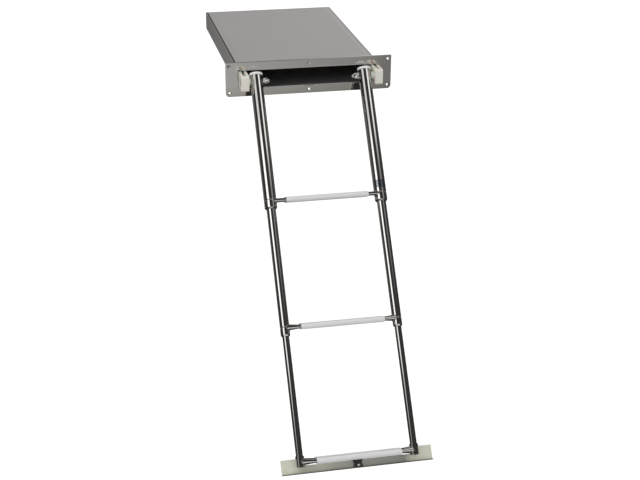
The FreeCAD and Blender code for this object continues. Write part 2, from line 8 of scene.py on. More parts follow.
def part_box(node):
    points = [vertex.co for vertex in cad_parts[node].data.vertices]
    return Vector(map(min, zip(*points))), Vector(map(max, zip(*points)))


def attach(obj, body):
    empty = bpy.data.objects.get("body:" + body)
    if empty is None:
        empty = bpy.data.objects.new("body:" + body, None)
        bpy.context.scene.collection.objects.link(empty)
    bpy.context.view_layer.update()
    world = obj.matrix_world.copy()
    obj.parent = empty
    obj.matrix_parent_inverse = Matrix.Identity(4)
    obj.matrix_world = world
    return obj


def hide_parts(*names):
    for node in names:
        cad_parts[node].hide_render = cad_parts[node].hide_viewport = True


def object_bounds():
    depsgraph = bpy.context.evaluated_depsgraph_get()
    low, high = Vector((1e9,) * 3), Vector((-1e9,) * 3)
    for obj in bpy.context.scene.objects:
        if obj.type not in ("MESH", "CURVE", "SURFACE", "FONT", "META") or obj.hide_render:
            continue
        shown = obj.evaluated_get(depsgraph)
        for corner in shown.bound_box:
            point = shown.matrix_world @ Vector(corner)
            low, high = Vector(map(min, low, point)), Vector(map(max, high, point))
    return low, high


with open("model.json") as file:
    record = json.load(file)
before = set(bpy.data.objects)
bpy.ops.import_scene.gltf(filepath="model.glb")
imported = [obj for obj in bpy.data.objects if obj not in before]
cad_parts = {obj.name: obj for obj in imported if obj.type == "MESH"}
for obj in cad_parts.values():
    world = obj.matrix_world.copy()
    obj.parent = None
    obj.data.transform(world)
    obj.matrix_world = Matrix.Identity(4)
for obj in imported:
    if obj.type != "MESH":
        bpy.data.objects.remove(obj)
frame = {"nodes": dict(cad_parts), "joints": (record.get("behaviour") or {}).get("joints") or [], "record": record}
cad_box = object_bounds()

# Telescopic boarding ladder in a steel cassette. Metres, with +Y into the cassette.
# Places are worked out from the ladder's joints and from the boxes of its CAD pieces.

MM = 0.001
JOINTS = {joint["name"]: joint for joint in frame["joints"]}
PIVOT = Vector(JOINTS["ladder_pivot"]["pos_m"])
UP_THE_LADDER = Vector(JOINTS["middle_slide"]["axis"]).normalized()
LEAN = math.atan2(UP_THE_LADDER.y, UP_THE_LADDER.z)
RIGHT = Vector((1, 0, 0))


def middle_of(node):
    low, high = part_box(node)
    return (low + high) / 2


POST_X = middle_of("upper_tube_right").x
UPPER_RADIUS = 15 * MM
LID_LOW, LID_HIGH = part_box("housing_lid")
PLATE_LOW, PLATE_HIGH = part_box("foot_plate")


# Shader maths
class Wire:
    """A node's output that can be used in arithmetic."""

    def __init__(self, finish, socket):
        self.finish = finish
        self.socket = socket

    def _math(self, operation, first, second):
        inputs = {0: first, 1: second}
        return self.finish.node("Math", {"operation": operation}, inputs)

    def __add__(self, other):
        return self._math("ADD", self, other)

    def __radd__(self, other):
        return self._math("ADD", other, self)

    def __sub__(self, other):
        return self._math("SUBTRACT", self, other)

    def __rsub__(self, other):
        return self._math("SUBTRACT", other, self)

    def __mul__(self, other):
        return self._math("MULTIPLY", self, other)


class Finish:
    """One material: a Principled shader, and the nodes that feed it."""

    def __init__(self, name, **fixed):
        self.material = bpy.data.materials.new(name)
        self.material.use_nodes = True
        self.tree = self.material.node_tree
        self.tree.nodes.clear()
        self.output = self.tree.nodes.new("ShaderNodeOutputMaterial")
        self.shader = self.tree.nodes.new("ShaderNodeBsdfPrincipled")
        self.join(self.output.inputs["Surface"], self.shader.outputs["BSDF"])
        for key, value in fixed.items():
            socket = key.replace("_", " ").title().replace("Ior", "IOR")
            self.shader.inputs[socket].default_value = value

    def join(self, target, source):
        self.tree.links.new(target, source)

    def feed(self, target, value):
        if isinstance(value, Wire):
            self.join(target, value.socket)
        else:
            target.default_value = value

    def node(self, kind, settings=None, inputs=None, output=0):
        """Adds a node, sets its settings, feeds its sockets and hands back one of its outputs."""
        made = self.tree.nodes.new("ShaderNode" + kind)
        for key, value in (settings or {}).items():
            if key == "stops":
                set_stops(made.color_ramp, value)
            else:
                setattr(made, key, value)
        for key, value in (inputs or {}).items():
            self.feed(made.inputs[key], value)
        return Wire(self, made.outputs[output])

    def place(self, stretch=(1, 1, 1), turn=(0, 0, 0)):
        """Object coordinates, turned and then stretched."""
        where = self.node("TexCoord", output="Object")
        point = {"vector_type": "POINT"}
        turned = self.node("Mapping", point, {"Vector": where, "Rotation": turn})
        return self.node("Mapping", point, {"Vector": turned, "Scale": stretch})

    def noise(self, where, scale, detail=3.0, roughness=0.55):
        inputs = {"Vector": where, "Scale": scale, "Detail": detail, "Roughness": roughness}
        return self.node("TexNoise", {"noise_dimensions": "3D"}, inputs)

    def ramp(self, value, *stops):
        """Runs a value through a ramp of (position, colour) stops."""
        return self.node("ValToRGB", {"stops": stops}, {"Fac": value})

    def along(self, axis, low, high):
        """0 to 1 along one axis of the part's frame, from low to high in metres."""
        where = self.node("TexCoord", output="Object")
        place = self.node("SeparateXYZ", {}, {0: where}, output=axis)
        inputs = {"Value": place, "From Min": low, "From Max": high}
        return self.node("MapRange", {"clamp": True}, inputs)

    def stripe(self, axis, middle, width):
        """1 on a line across the sheet and 0 away from it."""
        across = self.along(axis, middle - width, middle + width)
        return self.ramp(across, (0.0, 0.0), (0.35, 1.0), (0.65, 1.0), (1.0, 0.0))

    def between(self, mask, first, second):
        """The first colour where the mask is 0 and the second where it is 1."""
        mix = {"data_type": "RGBA"}
        return self.node("Mix", mix, {0: mask, 6: first, 7: second}, output=2)

    def colour(self, value):
        self.feed(self.shader.inputs["Base Color"], value)

    def roughness(self, value):
        self.feed(self.shader.inputs["Roughness"], value)

    def relief(self, height, distance, strength=1.0):
        """Raises the surface by a height map, in metres."""
        inputs = {"Height": height, "Distance": distance, "Strength": strength}
        bump = self.node("Bump", {}, inputs)
        self.join(self.shader.inputs["Normal"], bump.socket)


def set_stops(ramp, stops):
    while len(ramp.elements) < len(stops):
        ramp.elements.new(1.0)
    for element, (position, tone) in zip(ramp.elements, stops):
        element.position = position
        element.color = grey(tone) if isinstance(tone, float) else tone


def grey(level):
    return (level, level, level, 1.0)


def rgb(red, green, blue):
    return (red, green, blue, 1.0)


# Finishes
# where the painted reflection tones change on the flange: upward out of the warm one on the lower lip
# and into the rim's, and to the right along the rim and into the darker one on the right end
LIP_REFLECTION_BAND = (-70 * MM, -45 * MM)
RIM = (13.6 * MM, 14.3 * MM)
RIM_FADE = (-50 * MM, 120 * MM)
DARK_END_REFLECTION = (150 * MM, 190 * MM)


def polished_tube():
    """Mirror-drawn stainless tube, its polishing lines running round it."""
    steel = Finish("polished_tube", metallic=1.0)
    rings = steel.noise(steel.place((30, 30, 1400), (LEAN, 0, 0)), 1.0, 2.0)
    smears = steel.noise(steel.place((1, 1, 0.35), (LEAN, 0, 0)), 26.0, 4.0)
    steel.colour(steel.between(smears, rgb(0.63, 0.62, 0.60), rgb(0.70, 0.69, 0.68)))
    steel.roughness(0.02 + rings * 0.03 + smears * 0.03)
    steel.relief(rings, 0.00001, 0.3)
    return steel.material


def mirror_flange():
    """Polished flange sheet with faint lines along it and a slow waviness.

    Its lower lip has a warm painted reflection, its right end a darker painted reflection, and its top rim a
    painted reflection that is lighter to the right.
    """
    steel = Finish("polished_flange", metallic=1.0)
    lines = steel.noise(steel.place((4, 4, 900)), 1.0, 3.0)
    waves = steel.noise(steel.place((1, 1, 1.6)), 14.0, 2.0)
    # painted reflection: the lower lip is warmer and darker
    lip_reflection = steel.ramp(steel.along("Z", *LIP_REFLECTION_BAND), (0.0, 1.0), (1.0, 0.0))
    sheet = steel.between(waves, rgb(0.63, 0.62, 0.595), rgb(0.70, 0.69, 0.675))
    sheet = steel.between(lip_reflection, sheet, rgb(0.57, 0.56, 0.51))
    # painted reflection: the right end is darker
    end_reflection = steel.along("X", *DARK_END_REFLECTION)
    sheet = steel.between(end_reflection * 0.6, sheet, rgb(0.46, 0.44, 0.42))
    # painted reflection: the top rim goes from dark on the left to light on the right
    rim_reflection = steel.between(steel.along("X", *RIM_FADE), grey(0.10), grey(0.85))
    rim = steel.along("Z", *RIM)
    steel.colour(steel.between(rim, sheet, rim_reflection))
    steel.roughness(0.025 + lines * 0.03 + waves * 0.02)
    steel.relief(waves + lines * 0.02, 0.00022, 0.5)
    return steel.material


def satin_housing():
    """Mill-finish cassette sheet: short rolling grain and dull patches."""
    steel = Finish("satin_housing", metallic=0.88)
    steel.colour(housing_tone(steel))
    grain = steel.noise(steel.place((900, 22, 900)), 1.0, 3.0)
    patches = steel.noise(steel.place(), 7.0, 4.0, 0.6)
    steel.roughness(0.30 + grain * 0.12 + patches * 0.08)
    steel.relief(grain + patches * 2.0, 0.00005, 0.5)
    return steel.material


def housing_tone(steel):
    patches = steel.noise(steel.place(), 7.0, 4.0, 0.6)
    return steel.between(patches, rgb(0.52, 0.505, 0.51), rgb(0.60, 0.59, 0.595))


def seamed_lid():
    """The lid's sheet: a dark seam on its left with painted shade in its groove, a light line painted as a
    highlight on the lap near its right edge, a dark line painted as shade on the rolled right edge, and darker lap
    lines along its left and back.
    """
    steel = Finish("seamed_lid", metallic=0.96)
    sheet = housing_tone(steel)
    seam = steel.stripe("X", LID_LOW.x + 2.8 * MM, 3.0 * MM)
    back_seam = steel.stripe("Y", LID_HIGH.y - 10 * MM, 1.4 * MM)
    lap_highlight = steel.stripe("X", LID_HIGH.x - 12.5 * MM, 1.1 * MM)
    left_lap = steel.stripe("X", LID_LOW.x + 15 * MM, 1.2 * MM)
    rolled_edge_shade = steel.stripe("X", LID_HIGH.x - 2.0 * MM, 1.6 * MM)
    sheet = steel.between(left_lap * 0.4, sheet, rgb(0.36, 0.35, 0.35))
    # painted shade: the seam's groove on the left is painted near black
    sheet = steel.between(seam, sheet, rgb(0.07, 0.065, 0.065))
    sheet = steel.between(back_seam * 0.5, sheet, rgb(0.30, 0.29, 0.29))
    # painted highlight: a light line along the lap near the right edge
    sheet = steel.between(lap_highlight * 0.8, sheet, rgb(0.86, 0.86, 0.86))
    # painted shade: a dark line along the rolled right edge
    sheet = steel.between(rolled_edge_shade * 0.8, sheet, rgb(0.30, 0.29, 0.29))
    steel.colour(sheet)
    grain = steel.noise(steel.place((900, 22, 900)), 1.0, 3.0)
    patches = steel.noise(steel.place(), 7.0, 4.0, 0.6)
    steel.roughness(0.28 + grain * 0.12 + patches * 0.08 + seam * 0.3)
    steel.relief(grain + patches * 2.0 - seam * 6.0, 0.00005, 0.5)
    return steel.material


def moulded_nylon():
    """Ivory guide blocks and spacers, a little cloudy, with the mould's fine skin."""
    nylon = Finish("ivory_nylon", subsurface_weight=0.25, subsurface_scale=0.012)
    clouds = nylon.noise(nylon.place(), 55.0, 4.0)
    skin = nylon.noise(nylon.place(), 900.0, 2.0)
    nylon.colour(nylon.between(clouds, rgb(0.80, 0.785, 0.695), rgb(0.88, 0.87, 0.79)))
    nylon.roughness(0.36 + skin * 0.2)
    nylon.relief(skin + clouds, 0.00008, 0.5)
    return nylon.material


def bright_fastener():
    """Bright bolts, nuts and latch knob, nicked, with dark and bright specks painted as reflections of their
    facets.
    """
    steel = Finish("bright_fastener", metallic=0.6)
    wear = steel.noise(steel.place(), 180.0, 4.0)
    nicks = steel.noise(steel.place(), 240.0, 1.0)
    # painted reflection: dark and bright specks stand in for the facets' reflections
    painted_glints = steel.ramp(nicks, (0.44, 0.0), (0.50, 1.0))
    steel.colour(steel.between(painted_glints, rgb(0.13, 0.12, 0.12), rgb(0.98, 0.98, 0.97)))
    steel.roughness(0.05 + wear * 0.12)
    steel.relief(nicks, 0.0010, 1.0)
    return steel.material


def white_cap():
    plastic = Finish("white_cap", coat_weight=0.3, coat_roughness=0.2)
    mottle = plastic.noise(plastic.place(), 140.0, 3.0)
    plastic.colour(plastic.between(mottle, rgb(0.88, 0.88, 0.85), rgb(0.93, 0.93, 0.91)))
    plastic.roughness(0.28 + mottle * 0.15)
    plastic.relief(mottle, 0.00006, 0.4)
    return plastic.material


def grey_bush():
    plastic = Finish("grey_bush")
    mottle = plastic.noise(plastic.place(), 200.0, 3.0)
    plastic.colour(plastic.between(mottle, rgb(0.16, 0.16, 0.155), rgb(0.24, 0.24, 0.23)))
    plastic.roughness(0.40 + mottle * 0.2)
    plastic.relief(mottle, 0.00008, 0.5)
    return plastic.material


def pale_tread():
    """Ribbed tread plastic, darkened by painted shade where the vertex attribute says."""
    plastic = Finish("pale_tread")
    mottle = plastic.noise(plastic.place(), 60.0, 4.0)
    skin = plastic.noise(plastic.place(), 1100.0, 2.0)
    unshaded_tone = plastic.between(mottle, rgb(0.80, 0.79, 0.80), rgb(0.89, 0.88, 0.885))
    grime = plastic.node("Attribute", {"attribute_name": "grime"}, output="Fac")
    grime = plastic.ramp(grime, (0.72, 0.0), (0.95, 1.0))
    # painted shade: darker along the tread's edges and at its ends
    plastic.colour(plastic.between(grime * 0.8, unshaded_tone, rgb(0.22, 0.21, 0.21)))
    plastic.roughness(0.40 + skin * 0.25)
    plastic.relief(skin + mottle, 0.00008, 0.6)
    return plastic.material


def satin_foot():
    """Foot plate in brushed strip with an olive cast, darker in its middle by a painted reflection of the ladder
    and darker on its lip by painted shade.
    """
    steel = Finish("satin_foot", metallic=0.36)
    grain = steel.noise(steel.place((18, 1300, 1300)), 1.0, 3.0)
    patches = steel.noise(steel.place(), 16.0, 3.0)
    strip = steel.between(patches, rgb(0.92, 0.92, 0.76), rgb(0.97, 0.97, 0.84))
    # painted reflection: the ladder above darkens the plate's middle
    ladder_reflection = steel.ramp(
        steel.along("X", PLATE_LOW.x, PLATE_HIGH.x),
        (0.10, 0.0),
        (0.15, 0.35),
        (0.28, 0.45),
        (0.40, 0.70),
        (0.60, 0.85),
        (0.81, 1.0),
        (0.86, 0.0),
    )
    strip = steel.between(ladder_reflection, strip, rgb(0.46, 0.46, 0.42))
    # painted shade: the lip along the front edge is dark
    rim = steel.along("Y", PLATE_LOW.y + 5.8 * MM, PLATE_LOW.y + 4.6 * MM)
    steel.colour(steel.between(rim, strip, rgb(0.12, 0.115, 0.10)))
    steel.roughness(0.36 + grain * 0.12 + patches * 0.08)
    steel.relief(grain + patches, 0.00005, 0.5)
    return steel.material


def black_latch():
    plastic = Finish("black_latch")
    mottle = plastic.noise(plastic.place(), 240.0, 3.0)
    plastic.colour(plastic.between(mottle, rgb(0.018, 0.018, 0.018), rgb(0.05, 0.05, 0.048)))
    plastic.roughness(0.32 + mottle * 0.25)
    plastic.relief(mottle, 0.0001, 0.5)
    return plastic.material


def weld_steel():
    """Weld bead, rippled along its run and a little straw coloured by the heat."""
    steel = Finish("weld_steel", metallic=1.0)
    ripples = steel.noise(steel.place(), 700.0, 2.0)
    tint = steel.noise(steel.place(), 120.0, 3.0)
    steel.colour(steel.between(tint, rgb(0.50, 0.46, 0.40), rgb(0.70, 0.68, 0.65)))
    steel.roughness(0.22 + tint * 0.2)
    steel.relief(ripples, 0.0004, 0.7)
    return steel.material


def navy_vinyl():
    """Plain printed band on mirror foil, worn thin in specks."""
    vinyl = Finish("navy_vinyl", ior=3.0)
    specks = vinyl.noise(vinyl.place(), 420.0, 4.0)
    worn = vinyl.ramp(specks, (0.58, 0.0), (0.70, 1.0))
    vinyl.colour(vinyl.between(worn, rgb(0.008, 0.014, 0.034), rgb(0.05, 0.055, 0.08)))
    vinyl.roughness(0.05 + specks * 0.10)
    vinyl.relief(specks, 0.00001, 0.4)
    return vinyl.material


def grey_strike():
    """Moulded latch strike, scuffed where the latch rubs over it."""
    plastic = Finish("grey_strike")
    scuffs = plastic.noise(plastic.place((1, 6, 1)), 160.0, 4.0)
    plastic.colour(plastic.between(scuffs, rgb(0.10, 0.10, 0.095), rgb(0.24, 0.24, 0.23)))
    plastic.roughness(0.35 + scuffs * 0.3)
    plastic.relief(scuffs, 0.0001, 0.5)
    return plastic.material


FINISHES = {
    "flange": mirror_flange(),
    "housing": satin_housing(),
    "nylon": moulded_nylon(),
    "fastener": bright_fastener(),
    "tube": polished_tube(),
    "cap": white_cap(),
    "bush": grey_bush(),
    "tread": pale_tread(),
    "foot": satin_foot(),
    "latch": black_latch(),
}
LID_FINISH = seamed_lid()
WELD_FINISH = weld_steel()
BAND_FINISH = navy_vinyl()
STRIKE_FINISH = grey_strike()


def dress_cad_pieces():
    """Gives each CAD piece the finish of its slot, but for the lid and the pale spacers."""
    for part in frame["record"]["subparts"]:
        piece = frame["nodes"][part["node"]]
        piece.data.materials.clear()
        piece.data.materials.append(FINISHES[part["material_slot"]])
    frame["nodes"]["housing_lid"].data.materials[0] = LID_FINISH
    for word in ("left", "right"):
        frame["nodes"]["pivot_spacer_" + word].data.materials[0] = FINISHES["nylon"]


# Making pieces
def start_fresh():
    if bpy.context.mode != "OBJECT":
        bpy.ops.object.mode_set(mode="OBJECT")
    bpy.ops.object.select_all(action="DESELECT")


def pick(piece, wanted):
    """In edit mode, selects only the vertices for which wanted(place) is true."""
    bpy.ops.object.mode_set(mode="EDIT")
    bpy.ops.mesh.select_mode(type="VERT")
    bpy.ops.mesh.select_all(action="DESELECT")
    bpy.ops.object.mode_set(mode="OBJECT")
    for corner in piece.data.vertices:
        corner.select = wanted(corner.co)
    bpy.ops.object.mode_set(mode="EDIT")


def harden(piece, kind, **settings):
    """Adds one modifier and applies it."""
    step = piece.modifiers.new(kind.title(), kind)
    for key, value in settings.items():
        setattr(step, key, value)
    bpy.ops.object.modifier_apply(modifier=step.name)


def settle(piece, place, body, finish, angle=35.0):
    """Puts a finished piece in its place in the frame, with its finish and its body."""
    start_fresh()
    piece.select_set(True)
    bpy.context.view_layer.objects.active = piece
    piece.matrix_world = place
    bpy.ops.object.transform_apply(location=True, rotation=True, scale=True)
    bpy.ops.object.shade_smooth_by_angle(angle=math.radians(angle))
    piece.data.materials.clear()
    piece.data.materials.append(finish)
    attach(piece, body)


# Treads
TREAD_LEAN = LEAN - math.radians(11.5)
TREAD_WIDTH = 34 * MM
TREAD_HEIGHT = 14 * MM
TREAD_WALL = 1.8 * MM
RIBS = 45
RIB_DEPTH = 0.5 * MM
TREAD_END_SQUEEZE = (1, 0.965, 0.915)
CLOSE = 0.05 * MM
# painted shade: share of the half height where its line starts and its spread, then the stretch across
# the sleeve, in half heights from where the flat ends, and its width at the ends
SHADE_LINE_START = 0.70
SHADE_LINE_SPREAD = 0.2
SHADE_LINE_STRETCH = (-0.25, 0.35)
SHADE_END_WIDTH = 0.6 * MM
# share of the pitch, and 1 to drop into the groove, -1 to rise from it or 0 to go on level
RIB_STEPS = ((0.30, 0), (0.20, 1), (0.30, 0), (0.20, -1))


def rib_squeeze(drop):
    """How much an outline shrinks or grows between a rib's top and its groove."""
    sideways = 1 - 2 * RIB_DEPTH / TREAD_WIDTH
    upright = 1 - 2 * RIB_DEPTH / TREAD_HEIGHT
    return (1, sideways ** drop, upright ** drop)


def ribbed_sleeve(length):
    """One ribbed tread sleeve, lying along X and centred."""
    start_fresh()
    reach = (TREAD_WIDTH - TREAD_HEIGHT) / 2
    pitch = length / RIBS
    bpy.ops.mesh.primitive_circle_add(vertices=44, radius=TREAD_HEIGHT / 2)
    sleeve = bpy.context.object
    bpy.ops.object.mode_set(mode="EDIT")
    bpy.ops.mesh.select_all(action="SELECT")
    bpy.ops.transform.rotate(value=math.pi / 2, orient_axis="Y", center_override=(0, 0, 0))
    for side in (1, -1):
        pick(sleeve, lambda at: at.y * side > 0.02 * MM)
        bpy.ops.transform.translate(value=(0, reach * side, 0))
    bpy.ops.mesh.select_all(action="SELECT")
    bpy.ops.transform.translate(value=(-length / 2, 0, 0))
    for share, drop in RIB_STEPS:
        move = {"value": (pitch * share, 0, 0)}
        bpy.ops.mesh.extrude_region_move(TRANSFORM_OT_translate=move)
        bpy.ops.transform.resize(value=rib_squeeze(drop), center_override=(0, 0, 0))
    bpy.ops.object.mode_set(mode="OBJECT")
    harden(
        sleeve,
        "ARRAY",
        count=RIBS,
        use_relative_offset=False,
        use_constant_offset=True,
        constant_offset_displace=(pitch, 0, 0),
        use_merge_vertices=True,
        merge_threshold=CLOSE,
    )
    for side in (1, -1):
        pick(sleeve, lambda at: at.x * side > length / 2 - CLOSE)
        bpy.ops.transform.resize(value=TREAD_END_SQUEEZE, center_override=(0, 0, 0))
    bpy.ops.mesh.select_all(action="SELECT")
    bpy.ops.mesh.normals_make_consistent(inside=False)
    bpy.ops.object.mode_set(mode="OBJECT")
    harden(sleeve, "SOLIDIFY", thickness=TREAD_WALL, offset=-1.0)
    mark_painted_shade(sleeve, length, reach)
    return sleeve


def mark_painted_shade(sleeve, length, reach):
    """Marks painted shade in a line where the flat faces turn into the rounds, and at the ends."""
    marks = sleeve.data.attributes.new("grime", "FLOAT", "POINT")
    for mark, corner in zip(marks.data, sleeve.data.vertices):
        at = corner.co
        rise = abs(at.z) / (TREAD_HEIGHT / 2)
        past = (abs(at.y) - reach) / (TREAD_HEIGHT / 2)
        at_the_turn = SHADE_LINE_STRETCH[0] < past < SHADE_LINE_STRETCH[1]
        line = max(0.0, (rise - SHADE_LINE_START) / SHADE_LINE_SPREAD) if at_the_turn else 0.0
        end = 1.0 if abs(at.x) > length / 2 - SHADE_END_WIDTH else 0.0
        mark.value = min(1.0, max(line, end))


def sleeve_treads():
    low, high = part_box("tread_1")
    pattern = ribbed_sleeve(high.x - low.x)
    turn = Matrix.Rotation(-TREAD_LEAN, 4, "X")
    for number, body in ((1, "upper"), (2, "middle"), (3, "lower")):
        node = "tread_%d" % number
        sleeve = pattern.copy()
        sleeve.data = pattern.data.copy()
        sleeve.name = "ribbed_tread_%d" % number
        bpy.context.scene.collection.objects.link(sleeve)
        place = Matrix.Translation(middle_of(node)) @ turn
        settle(sleeve, place, body, FINISHES["tread"], 60.0)
        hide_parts(node)
    bpy.data.objects.remove(pattern)


# Welds where the rungs meet the uprights
WIDE = Vector((0, math.cos(TREAD_LEAN), -math.sin(TREAD_LEAN)))
THIN = Vector((0, math.sin(TREAD_LEAN), math.cos(TREAD_LEAN)))
BACKWARD = UP_THE_LADDER.cross(RIGHT)
RUNG_FLAT = (28 * MM, 9 * MM)
RUNG_TAPER = 32 * MM
BEAD = 1.1 * MM
MOST_OFF_AXIS = 0.98
# rung, body, radius of what it is welded to, width and height of the rung's end
WELDS = (
    ("rung_1", "upper", UPPER_RADIUS, 28 * MM, 9 * MM),
    ("rung_2", "middle", 11 * MM, 21 * MM, 16 * MM),
    ("rung_3", "lower", 10 * MM, 18.2 * MM, 18 * MM),
)


def oval_point(share, width, height):
    """A point at a share of the way round an oval, as its place across and up."""
    reach = (width - height) / 2
    round_end = math.pi * height / 2
    half, way = divmod(share * 2 * (round_end + 2 * reach), round_end + 2 * reach)
    sign = 1 if half == 0 else -1
    if way > round_end:
        return sign * (reach - (way - round_end)), sign * height / 2
    turn = way / (height / 2) - math.pi / 2
    return sign * (reach + height / 2 * math.cos(turn)), sign * height / 2 * math.sin(turn)


def saddle_point(share, centre, side, radius, end_width, end_height):
    """A point of the line on which a rung's outline meets its upright.

    The points are spaced evenly round the outline, so that the bead follows the upright
    across the rung's flat sides too, and stays clear of the tube that slides inside.
    """
    from_post = radius
    for _ in range(3):
        taper = min(from_post / RUNG_TAPER, 1.0)
        width = end_width + (RUNG_FLAT[0] - end_width) * taper
        height = end_height + (RUNG_FLAT[1] - end_height) * taper
        across, rise = oval_point(share, width, height)
        outline = WIDE * across + THIN * rise
        off_axis = min(abs(outline.dot(BACKWARD)), radius * MOST_OFF_AXIS)
        from_post = math.sqrt(radius ** 2 - off_axis ** 2)
    return centre + outline + RIGHT * side * (POST_X - from_post)


def weld_rungs():
    for rung, body, radius, width, height in WELDS:
        centre = middle_of(rung)
        centre.x = 0
        for side, word in ((-1, "left"), (1, "right")):
            start_fresh()
            bpy.ops.curve.primitive_bezier_circle_add(radius=0.01)
            bead = bpy.context.object
            bead.name = "weld_%s_%s" % (rung, word)
            bpy.ops.object.mode_set(mode="EDIT")
            bpy.ops.curve.select_all(action="SELECT")
            bpy.ops.curve.subdivide(number_cuts=8)
            bpy.ops.object.mode_set(mode="OBJECT")
            knots = bead.data.splines[0].bezier_points
            for index, knot in enumerate(knots):
                share = (index + 0.5) / len(knots)
                knot.co = saddle_point(share, centre, side, radius, width, height)
                knot.handle_left_type = "AUTO"
                knot.handle_right_type = "AUTO"
            bead.data.dimensions = "3D"
            bead.data.resolution_u = 2
            bead.data.bevel_depth = BEAD
            bead.data.bevel_resolution = 2
            bpy.ops.object.convert(target="MESH")
            settle(bead, Matrix.Identity(4), body, WELD_FINISH, 80.0)


# Small pieces
BAND_DOWN = (267 * MM, 286 * MM)
BAND_HALF_ANGLE = math.radians(56)
BAND_MIDDLE = math.radians(100)
BAND_GAP = 0.04 * MM
BAND_THICKNESS = 0.12 * MM
STRIKE_LOW = Vector((-12.0, -3.6, -51.4)) * MM
STRIKE_HIGH = Vector((12.0, 2.0, -48.6)) * MM
STRIKE_LEAD_IN = 1.1 * MM


def wrap_band():
    """The plain dark band stuck round the front of the right upright."""
    start_fresh()
    height = BAND_DOWN[1] - BAND_DOWN[0]
    bpy.ops.mesh.primitive_cylinder_add(
        vertices=120, radius=UPPER_RADIUS + BAND_GAP, depth=height, end_fill_type="NOTHING"
    )
    band = bpy.context.object
    band.name = "upright_band"

    def off_the_front(at):
        facing = math.atan2(-at.y, at.x)
        return abs(facing - BAND_MIDDLE) > BAND_HALF_ANGLE

    pick(band, off_the_front)
    bpy.ops.mesh.delete(type="VERT")
    bpy.ops.mesh.select_all(action="SELECT")
    bpy.ops.mesh.subdivide(number_cuts=1)
    bpy.ops.object.mode_set(mode="OBJECT")
    harden(band, "SOLIDIFY", thickness=BAND_THICKNESS, offset=1.0)
    turn = Matrix((RIGHT, BACKWARD, UP_THE_LADDER)).transposed().to_4x4()
    centre = PIVOT + RIGHT * POST_X - UP_THE_LADDER * sum(BAND_DOWN) / 2
    settle(band, Matrix.Translation(centre) @ turn, "upper", BAND_FINISH, 60.0)


def fit_strike():
    """The latch's strike on the mouth's lower edge: a block with a lead-in."""
    start_fresh()
    bpy.ops.mesh.primitive_cube_add(size=1.0, location=(STRIKE_LOW + STRIKE_HIGH) / 2)
    strike = bpy.context.object
    strike.name = "latch_strike"
    strike.scale = STRIKE_HIGH - STRIKE_LOW
    bpy.ops.object.transform_apply(location=True, rotation=True, scale=True)

    def on_the_front_top_edge(at):
        return at.y < STRIKE_LOW.y + 0.1 * MM and at.z > STRIKE_HIGH.z - 0.1 * MM

    pick(strike, on_the_front_top_edge)
    bpy.ops.mesh.bevel(offset=STRIKE_LEAD_IN, segments=4, affect="EDGES")
    bpy.ops.object.mode_set(mode="OBJECT")
    harden(strike, "BEVEL", width=0.3 * MM, segments=2, limit_method="ANGLE")
    settle(strike, Matrix.Identity(4), "cassette", STRIKE_FINISH)


dress_cad_pieces()
sleeve_treads()
weld_rungs()
wrap_band()
fit_strike()


# Studio
CAMERA_PLACE = Vector((-0.64789, -3.11896, 0.9341))
CAMERA_RIGHT = Vector((0.977822, -0.209292, 0.007833))
CAMERA_UP = Vector((0.077138, 0.394662, 0.915583))
CAMERA_BACK = Vector((-0.194716, -0.894672, 0.402053))
CAMERA_LENS = 76.416
FLOOR_BELOW = 0.45
FLOOR_SIZE = 60.0
FLOOR_GLOW = 0.60
TENT_RADIUS = 3.2
TENT_ABOVE_FLOOR = 0.004
# radiances of the tent: all over, behind (low plus a rise to the right), in front from
# left to right, on the facing wall, and low down behind on the left
TENT_DIM = 0.045
TENT_BEHIND = 0.47
TENT_BEHIND_RISE = 0.16
TENT_FRONT = (0.50, 0.24)
TENT_FACING = 0.85
TENT_LEFT_BEHIND = 0.24
WORLD_ON_OBJECT = 0.86
WORLD_IN_VIEW = 1.0
PANEL_DISTANCE = 2.6
PANEL_HEIGHT = 2.4
PANEL_EDGE_SHARPNESS = 9.0
TOWARD_KEY = (-0.625, -0.49, 0.622)
TOWARD_FILL = (0.616, -0.496, 0.627)
KEY_WIDTH = 1.55
FILL_WIDTH = 1.2
KEY_DRAWN_IN = 0.55
FILL_DRAWN_IN = 0.0
# height on the panel in metres, and radiance
KEY_STOPS = ((-0.75, 0.8), (-0.62, 1.45), (-0.4, 1.6), (0.1, 1.7), (0.28, 1.5), (0.34, 0.95))
FILL_STOPS = (
    (-0.6, 0.05),
    (-0.45, 0.07),
    (-0.34, 0.14),
    (-0.2, 0.25),
    (0.1, 0.32),
    (0.2, 0.62),
    (0.28, 1.15),
    (0.35, 1.3),
)
AIM = (cad_box[0] + cad_box[1]) / 2


def place_camera():
    data = bpy.data.cameras.new("camera")
    data.lens = CAMERA_LENS
    data.sensor_width = 36.0
    camera = bpy.data.objects.new("camera", data)
    bpy.context.scene.collection.objects.link(camera)
    turn = Matrix((CAMERA_RIGHT, CAMERA_UP, CAMERA_BACK)).transposed()
    camera.matrix_world = Matrix.Translation(CAMERA_PLACE) @ turn.to_4x4()
    bpy.context.scene.camera = camera


